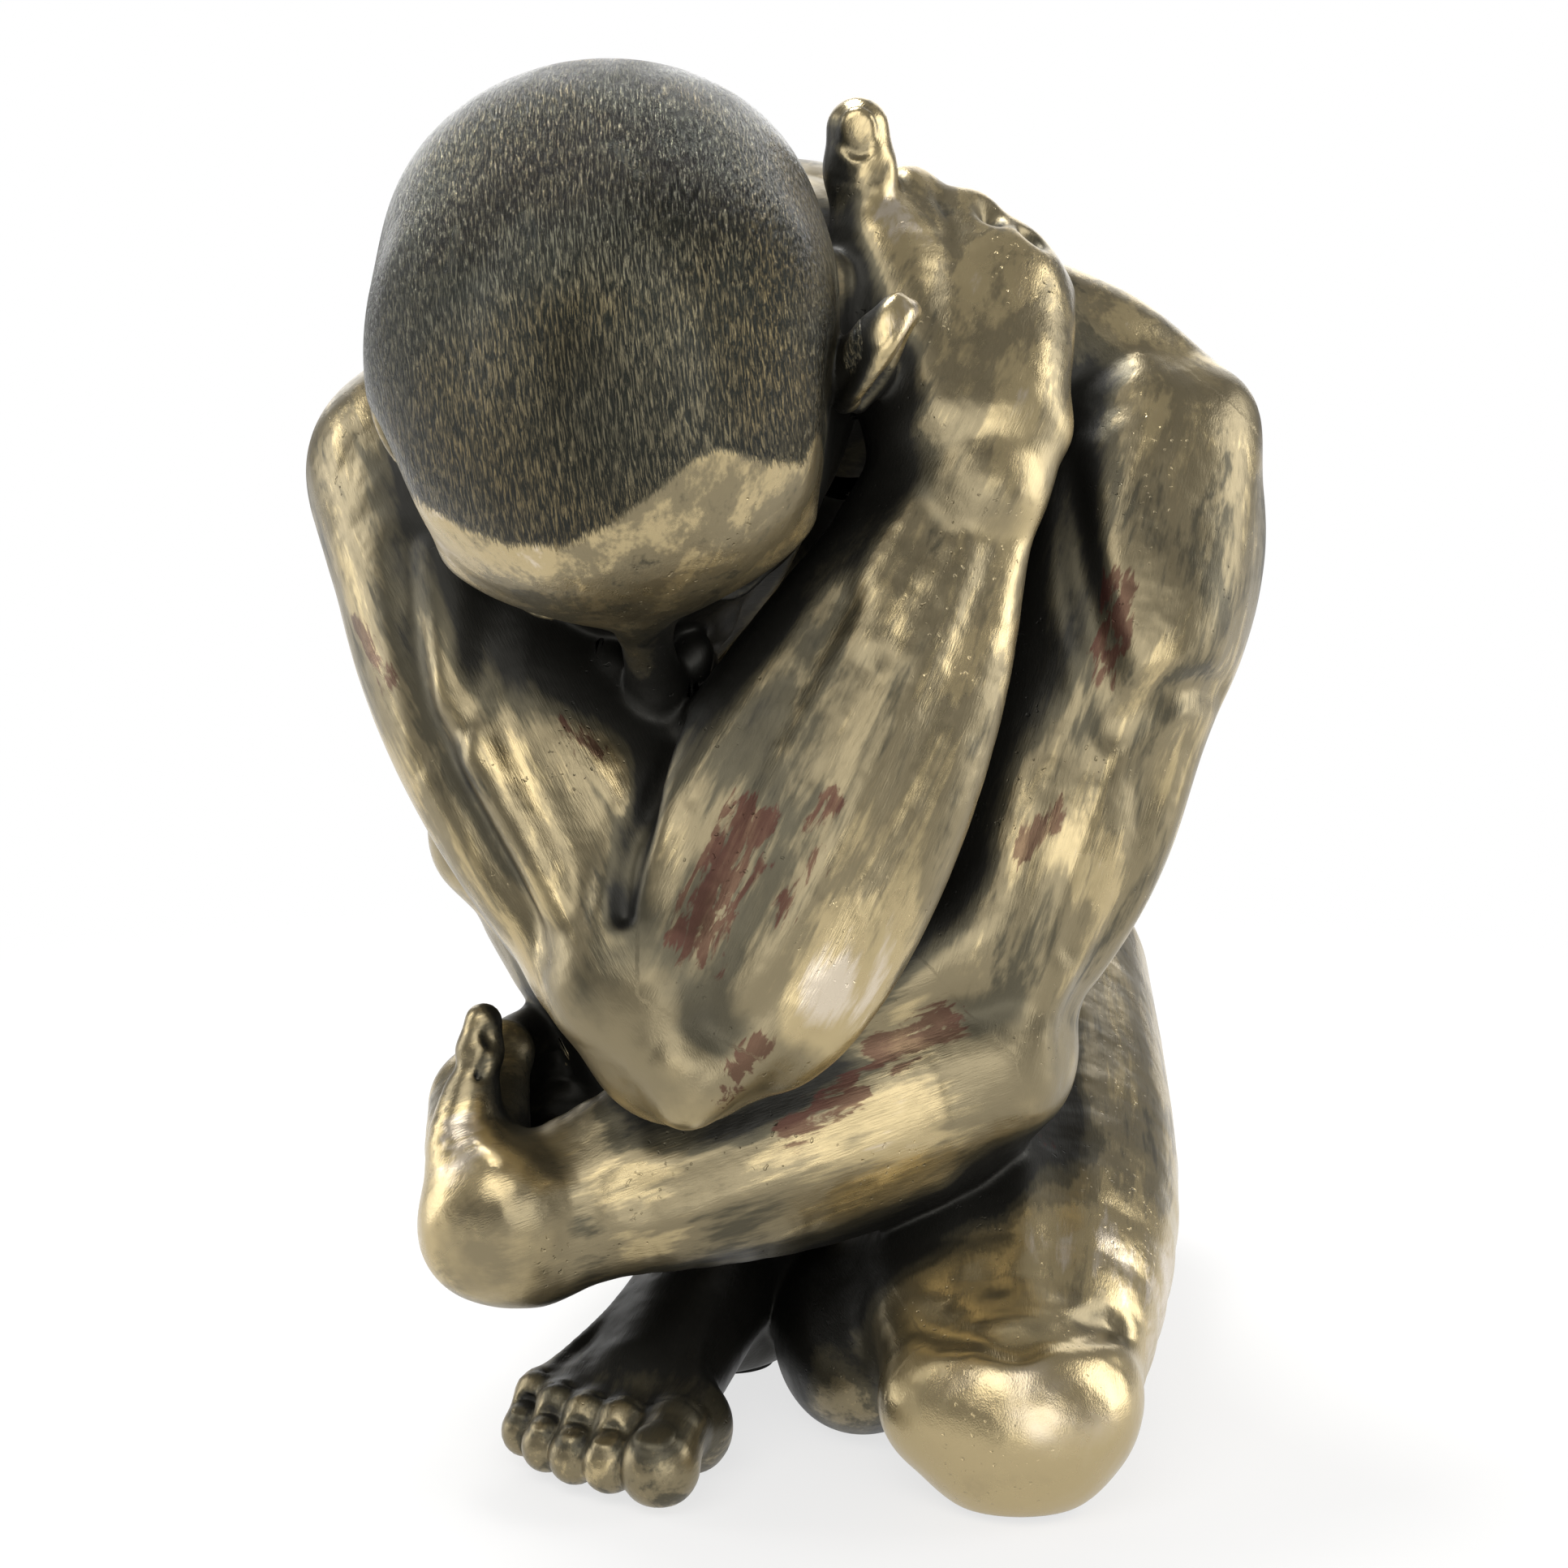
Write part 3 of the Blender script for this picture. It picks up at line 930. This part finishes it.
# Red-brown patches of the patina, each from one place to another, and their half widths.
RUSTED = (
    (FORE_R(0.3, -5, 18), FORE_R(0.12, -5, 18), 3.6), (FORE_R(0.38, 6, 17), FORE_R(0.2, 7, 17), 2),
    (FORE_L(0.1, 9, 16), FORE_L(0.24, 8, 18), 2.8), (FORE_L(0.32, 3, 18), FORE_L(0.46, 1, 18), 2.2),
    (UP_R(0.57, -6, 19), UP_R(0.63, -9, 19), 2.4), (UP_L(0.2, 4, 24), UP_L(0.36, 1, 23), 2.6),
    (UP_L(0.6, 2, 22), UP_L(0.68, 6, 20), 2.2), (THIGH_FRONT(0.5, -6, 22), THIGH_FRONT(0.66, -2, 22), 3),
    (UP_R(0.22, 18, 12), UP_R(0.34, 17, 14), 2), (FORE_R(0.02, 12, 14), FORE_R(-0.06, 10, 12), 2),
    (vec(12, 104, 110), vec(6, 92, 134), 2.6), (vec(-30, 104, 70), vec(-26, 108, 50), 3.4),
)
rust = np.zeros(len(spots))
for a, b, reach in RUSTED:
    t = np.clip((spots - a) @ (b - a) / ((b - a) @ (b - a)), 0, 1)
    away = np.linalg.norm(spots - a - t[:, None] * (b - a), axis=1)
    rust = np.maximum(rust, np.clip(1.25 - away / reach / 2, 0, 1))


def srgb(red, green, blue):
    """Linear colour from the usual 0 to 255 values."""
    return tuple((c / 255 / 12.92 if c / 255 <= 0.04045 else ((c / 255 + 0.055) / 1.055) ** 2.4)
                 for c in (red, green, blue)) + (1.0,)


class Nodes:
    """Short ways to build the nodes of a material or a world."""

    def __init__(self, block):
        block.use_nodes = True
        self.block, self.tree = block, block.node_tree

    def node(self, kind, inputs=(), **settings):
        node = self.tree.nodes.new("ShaderNode" + kind)
        for key, value in settings.items():
            setattr(node, key, value)
        for key, value in dict(inputs).items():
            self.set(node.inputs[key], value)
        return node

    def set(self, socket, value):
        if isinstance(value, bpy.types.NodeSocket):
            self.tree.links.new(value, socket)
        else:
            socket.default_value = value

    def shade(self, inputs):
        """Sets inputs of the material's own shader."""
        for name, value in inputs.items():
            self.set(self.tree.nodes["Principled BSDF"].inputs[name], value)

    def place(self):
        return self.node("TexCoord").outputs["Object"]

    def value(self, name):
        return self.node("Attribute", attribute_name=name).outputs["Fac"]

    def lay(self, along, across, detail, rough, distort=0.0, source="lay"):
        """Noise that is drawn out along the bones, or along the strands of hair."""
        spot = self.node("Attribute", attribute_name=source).outputs["Vector"]
        scale = (along, across, 1.0 if source == "strands" else across)
        spot = self.node("VectorMath", {0: spot, 1: scale}, operation="MULTIPLY").outputs[0]
        return self.noise(spot, 1.0, detail, rough, distort)

    def noise(self, vector, scale, detail=3.0, rough=0.5, distort=0.0):
        inputs = {"Vector": vector, "Scale": scale, "Detail": detail, "Roughness": rough,
                  "Distortion": distort}
        return self.node("TexNoise", inputs).outputs["Fac"]

    def ramp(self, source, low, high, start=0.0, end=1.0):
        """A smooth step of a value from one pair of numbers to another."""
        inputs = {"Value": source, "From Min": low, "From Max": high, "To Min": start, "To Max": end}
        return self.node("MapRange", inputs, interpolation_type="SMOOTHSTEP").outputs["Result"]

    def math(self, operation, first, *others):
        for other in others:
            first = self.node("Math", {0: first, 1: other}, operation=operation).outputs[0]
        return first

    def add(self, *terms):
        return self.math("ADD", *terms)

    def times(self, *factors):
        return self.math("MULTIPLY", *factors)

    def swing(self, noise, weight):
        """A noise about its middle, made weaker or stronger."""
        return self.times(self.math("SUBTRACT", noise, 0.5), weight)

    def mix(self, share, a, b):
        return self.node("Mix", {0: share, 6: a, 7: b}, data_type="RGBA").outputs[2]

    def bump(self, height, strength, distance, normal=None):
        inputs = {"Height": height, "Strength": strength, "Distance": distance}
        if normal is not None:
            inputs["Normal"] = normal
        return self.node("Bump", inputs).outputs["Normal"]


# The patina from its darkest colour on: where each lighter one starts and ends, by wear.
DARKEST = srgb(46, 45, 41)
PATINA = ((-0.05, 0.28, srgb(88, 83, 68)), (0.3, 0.5, srgb(134, 123, 97)),
          (0.56, 0.76, srgb(182, 165, 126)), (0.84, 1.06, srgb(208, 195, 174)))
RED_BROWN = srgb(76, 40, 35)


def make_bronze():
    """Rubbed bronze: gold where it is handled, olive brown between, near black in the recesses."""
    m = Nodes(bpy.data.materials.new("cast_bronze"))
    grain, place = m.value("grain"), m.place()
    streak = m.lay(0.028, 0.125, 5, 0.58, 0.5)
    brush = m.lay(0.09, 1.1, 3, 0.55)
    fine = m.lay(0.3, 3.2, 3, 0.6)
    torn = m.lay(0.13, 0.5, 5, 0.62, 0.5)
    strand = m.lay(3.0, 0.34, 4, 0.66, 0.7, "strands")
    patch = m.noise(place, 22, 3, 0.5, 0.8)
    cloud = m.noise(place, 70, 4, 0.58)
    # Wear: high where hands rub the metal bright, low where the patina stays.
    wear = m.add(m.ramp(m.value("shut"), 0.075, 0.4, 0.58, -0.16),
                 m.ramp(m.value("recess"), 0.1, 1.1, 0.1, -0.25), m.value("rub"),
                 m.swing(patch, 0.85), m.swing(cloud, 0.36),
                 m.times(m.swing(streak, 1.3), grain), m.times(m.swing(brush, 0.34), grain))
    skin = DARKEST
    for low, high, colour in PATINA:
        skin = m.mix(m.ramp(wear, low, high), skin, colour)
    stain = m.ramp(m.add(m.value("rust"), m.swing(torn, 2.6)), 0.62, 0.86)
    skin = m.mix(m.times(stain, 0.72), skin, RED_BROWN)
    hair = m.ramp(m.add(m.value("hair"), m.swing(strand, 1.0)), 0.4, 0.6)
    tip = m.mix(m.ramp(patch, 0.35, 0.75), srgb(106, 106, 93), srgb(130, 115, 82))
    lock = m.mix(m.ramp(strand, 0.44, 0.68), srgb(40, 41, 36), tip)
    rough = m.add(m.ramp(wear, 0.1, 0.8, 0.46, 0.25), m.ramp(cloud, 0.3, 0.75, -0.04, 0.06),
                  m.times(hair, -0.07))
    # Relief: hair strokes, and on the skin a soft wave, brush marks and casting pits.
    bare = m.math("SUBTRACT", 1.0, hair)
    wave = m.noise(place, 110, 2, 0.5)
    pits = m.times(m.ramp(m.noise(place, 900, 1, 0.5), 0.68, 0.78),
                   m.ramp(m.noise(place, 60, 1, 0.5), 0.52, 0.62), -1.0)
    normal = m.bump(m.times(strand, hair), 0.9, 0.0007)
    for height, strength, depth in ((wave, 0.4, 0.0014), (fine, 0.2, 0.0003), (pits, 0.5, 0.0003)):
        normal = m.bump(m.times(height, bare), strength, depth, normal)
    m.shade({"Base Color": m.mix(hair, skin, lock), "Metallic": m.ramp(wear, -0.1, 0.4, 0.74, 0.9),
             "Roughness": rough, "Normal": normal})
    return m.block


def make_felt():
    m = Nodes(bpy.data.materials.new("dark_felt"))
    fibre = m.noise(m.place(), 1600, 5, 0.65, 0.8)
    m.shade({"Base Color": m.mix(m.ramp(fibre, 0.35, 0.65), srgb(26, 27, 26), srgb(52, 53, 50)),
             "Roughness": 0.95, "Normal": m.bump(fibre, 0.5, 0.0004)})
    return m.block


def make_steel():
    m = Nodes(bpy.data.materials.new("pin_steel"))
    lines = m.noise(m.place(), 1500, 3, 0.6)
    m.shade({"Base Color": srgb(170, 172, 174), "Metallic": 1.0,
             "Roughness": m.ramp(lines, 0.3, 0.7, 0.22, 0.4), "Normal": m.bump(lines, 0.1, 0.0002)})
    return m.block


bronze, felt, steel = make_bronze(), make_felt(), make_steel()


def put(name, data):
    """A new object in the scene."""
    thing = bpy.data.objects.new(name, data)
    bpy.context.scene.collection.objects.link(thing)
    return thing


def caps_of(faces, coordinates):
    """Triangles that cap each open edge loop of one casting, and the middles that they meet at."""
    edges = dict.fromkeys((a, b) for quad in faces for a, b in zip(quad, (*quad[1:], quad[0])))
    after = {}
    for a, b in edges:
        if (b, a) not in edges:
            after.setdefault(b, []).append(a)
    caps, middles = [], []
    while after:
        first = next(iter(after))
        loop, here = [first], first
        while True:
            ways = after[here]
            here = ways.pop()
            if not ways:
                del after[loop[-1]]
            if here == first:
                break
            loop.append(here)
        centre = len(coordinates) + len(middles)
        middles.append(coordinates[loop].mean(0))
        for a, b in zip(loop, (*loop[1:], loop[0])):
            caps.append((a, b, centre))
    return caps, middles


def make_piece(number, name):
    """One casting as its own closed mesh, with the whole figure's smooth normals."""
    chosen = quads[face_owner == number]
    used, inverse = np.unique(chosen, return_inverse=True)
    faces = [tuple(row) for row in inverse.reshape(chosen.shape).tolist()]
    coordinates = (spots[used] - SHIFT) * MM
    caps, middles = caps_of(faces, coordinates)
    faces += caps
    extra = len(middles)
    mesh = bpy.data.meshes.new(name)
    mesh.from_pydata(np.vstack((coordinates, *middles)).tolist(), [], faces)
    for title, values in LAYERS.items():
        kind, field = ("FLOAT", "value") if values.ndim == 1 else ("FLOAT_VECTOR", "vector")
        layer = mesh.attributes.new(title, kind, "POINT")
        padded = np.concatenate((values[used], np.zeros((extra, *values.shape[1:]))))
        layer.data.foreach_set(field, padded.astype(np.float32).ravel())
    mesh.polygons.foreach_set("use_smooth", np.ones(len(faces), bool))
    mesh.materials.append(bronze)
    mesh.update()
    ways = np.vstack((normals[used], np.tile(UP, (extra, 1))))
    mesh.normals_split_custom_set_from_vertices(ways.tolist())
    return put(name, mesh)


# What the bronze reads at each point of a mesh.
LAYERS = {"recess": recess, "hair": hair, "shut": shut, "grain": grain, "rub": rub, "rust": rust,
          "strands": strands, "lay": lays}
face_owner = owners[quads[:, 0]]
for number, casting in enumerate(castings):
    piece = make_piece(number, casting.name.replace("_casting", "_bronze"))
    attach(piece, "root")
    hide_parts(casting.name)

for name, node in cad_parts.items():
    for ending, material in (("_pad", felt), ("_pin", steel)):
        if name.endswith(ending):
            node.data.materials.clear()
            node.data.materials.append(material)


FLOOR_HALF = 3.0
WHITE = (1.0, 1.0, 1.0, 1.0)
AMBIENT = (0.31, 0.31, 0.31, 1.0)
# The camera in millimetres and degrees, and its focal length in pixels of the photo.
CAMERA, CAMERA_DIP = vec(0, -650, 230), 10.3
FOCAL_PIXELS, PHOTO_PIXELS, FILM = 4480, 1932, 36.0


def make_floor():
    """A pale floor, which the camera sees melt into the white backdrop."""
    mesh = bpy.data.meshes.new("floor")
    corners = [(FLOOR_HALF * x, FLOOR_HALF * y, 0) for x, y in ((-1, -1), (1, -1), (1, 1), (-1, 1))]
    mesh.from_pydata(corners, [], [(0, 1, 2, 3)])
    m = Nodes(bpy.data.materials.new("studio_floor"))
    place = m.place()
    m.shade({"Base Color": (0.86, 0.85, 0.83, 1.0), "Roughness": 0.6,
             "Normal": m.bump(m.noise(place, 40, 2), 0.02, 0.001)})
    away = m.node("VectorMath", {0: place}, operation="LENGTH").outputs["Value"]
    path = m.node("LightPath").outputs
    share = m.add(m.times(m.ramp(away, 0.12, 0.42, 0.72, 1.0), path["Is Camera Ray"]),
                  m.times(path["Is Glossy Ray"], 0.75))
    white = m.node("Emission", {"Color": WHITE, "Strength": 1.0}).outputs[0]
    pale = m.tree.nodes["Principled BSDF"].outputs[0]
    both = m.node("MixShader", {0: share, 1: pale, 2: white}).outputs[0]
    m.set(m.tree.nodes["Material Output"].inputs["Surface"], both)
    mesh.materials.append(m.block)
    floor = put("floor", mesh)


def area_light(name, place, size, power, height=0.1, colour=(1, 1, 1)):
    """A rectangular light, aimed at a height on the middle line of the figure."""
    light = bpy.data.lights.new(name, "AREA")
    light.shape = "RECTANGLE"
    light.size, light.size_y = size
    light.energy, light.color = power, colour
    holder = put(name, light)
    holder.location = place
    way = vec(0, 0, height) - vec(*place)
    holder.rotation_euler = (math.atan2(math.hypot(way[0], way[1]), -way[2]), 0, math.atan2(-way[0], way[1]))


def make_world():
    """White to the camera, and a plain grey light on everything else."""
    world = bpy.data.worlds.new("studio")
    bpy.context.scene.world = world
    m = Nodes(world)
    tone = m.mix(m.node("LightPath").outputs["Is Camera Ray"], AMBIENT, WHITE)
    m.set(m.tree.nodes["Background"].inputs["Color"], tone)


def make_camera():
    """The photo's camera, which looks a little down on the figure."""
    camera = bpy.data.cameras.new("photo_camera")
    camera.sensor_width = FILM
    camera.lens = FILM * FOCAL_PIXELS / PHOTO_PIXELS
    camera.clip_start = 0.01
    holder = put("photo_camera", camera)
    holder.location = (CAMERA - SHIFT) * MM
    holder.rotation_euler = (math.radians(90 - CAMERA_DIP), 0, 0)
    bpy.context.scene.camera = holder


make_floor()
area_light("key", (-0.45, -0.95, 1.2), (1.1, 0.8), 8, 0.12, (1.0, 0.99, 0.97))
area_light("front", (0.4, -1.4, 0.45), (1.3, 0.8), 7)
area_light("side_left", (-1.3, 0.35, 0.5), (0.5, 1.1), 6)
area_light("side_right", (1.3, 0.1, 0.5), (0.7, 1.1), 9)
area_light("back", (0, 1.4, 0.7), (1.6, 1.0), 9)
area_light("top", (-0.25, 0.45, 1.3), (0.42, 0.34), 15)
make_world()
make_camera()
bpy.context.scene.view_settings.view_transform = "Standard"

bpy.context.view_layer.update()
